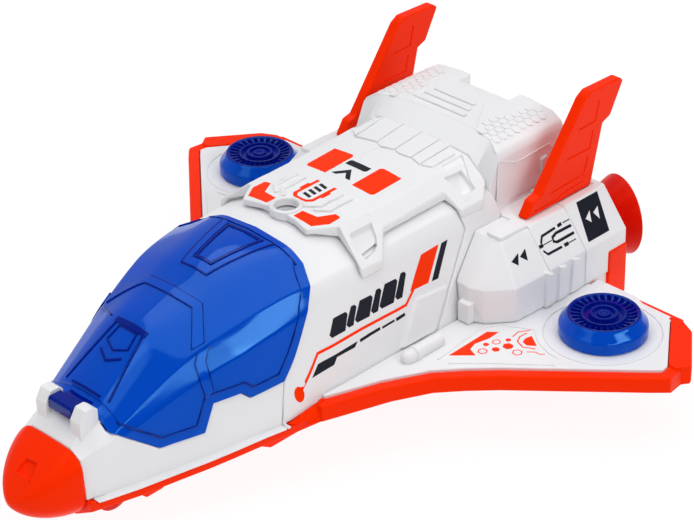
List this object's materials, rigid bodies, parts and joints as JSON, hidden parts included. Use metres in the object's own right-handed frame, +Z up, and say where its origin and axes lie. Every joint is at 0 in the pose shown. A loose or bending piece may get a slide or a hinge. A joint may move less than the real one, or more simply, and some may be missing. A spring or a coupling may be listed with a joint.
{
  "type": "toy space shuttle",
  "caption": "Moulded toy space shuttle with a clear opening canopy, delta wings carrying spinning discs, twin fins, side engine pods and free-running wheels.",
  "frame": {"origin": "on the floor under the middle of the toy's length and width", "axes": "+X towards the port wing tip, -Y towards the nose, +Z up"},
  "size_m": [0.2836, 0.2867, 0.11],
  "materials": {
    "white_plastic": "moulded white plastic, soft sheen",
    "orange_plastic": "moulded orange-red plastic",
    "red_plastic": "moulded deep red plastic",
    "blue_clear_plastic": "clear blue plastic, polished",
    "dark_plastic": "dark matt plastic"
  },
  "bodies": {
    "hull": {"cockpit_hull": "white_plastic", "fuselage_shell": "white_plastic", "nose_cap": "orange_plastic", "chassis": "orange_plastic", "wing_frame_port": "orange_plastic", "wing_frame_starboard": "orange_plastic", "wing_panel_port": "white_plastic", "wing_panel_starboard": "white_plastic", "pod_port": "white_plastic", "pod_starboard": "white_plastic", "engine_cover_port": "orange_plastic", "engine_cover_starboard": "orange_plastic", "nozzle_port": "red_plastic", "nozzle_starboard": "red_plastic", "fin_port": "orange_plastic", "fin_starboard": "orange_plastic", "rear_housing": "white_plastic", "roof_plate": "white_plastic", "seat": "dark_plastic"},
    "canopy": {"canopy": "blue_clear_plastic"},
    "disc_port": {"wing_disc_port": "blue_clear_plastic"},
    "disc_starboard": {"wing_disc_starboard": "blue_clear_plastic"},
    "front_axle": {"front_wheels": "red_plastic"},
    "rear_axle": {"rear_wheels": "red_plastic"}
  },
  "joints": [
    {"name": "canopy_hinge", "type": "hinge", "parent": "hull", "child": "canopy", "pos_m": [0, -0.11275, 0.0478], "axis": [1, 0, 0], "range_deg": [0, 60]},
    {"name": "disc_spin_port", "type": "hinge", "parent": "hull", "child": "disc_port", "pos_m": [0.1, 0.07975, 0.038], "axis": [0, 0, 1], "continuous": true},
    {"name": "disc_spin_starboard", "type": "hinge", "parent": "hull", "child": "disc_starboard", "pos_m": [-0.1, 0.07975, 0.038], "axis": [0, 0, 1], "continuous": true},
    {"name": "front_axle_spin", "type": "hinge", "parent": "hull", "child": "front_axle", "pos_m": [0, -0.10255, 0.0085], "axis": [1, 0, 0], "continuous": true},
    {"name": "rear_axle_spin", "type": "hinge", "parent": "hull", "child": "rear_axle", "pos_m": [0, 0.09375, 0.012], "axis": [1, 0, 0], "continuous": true}
  ]
}
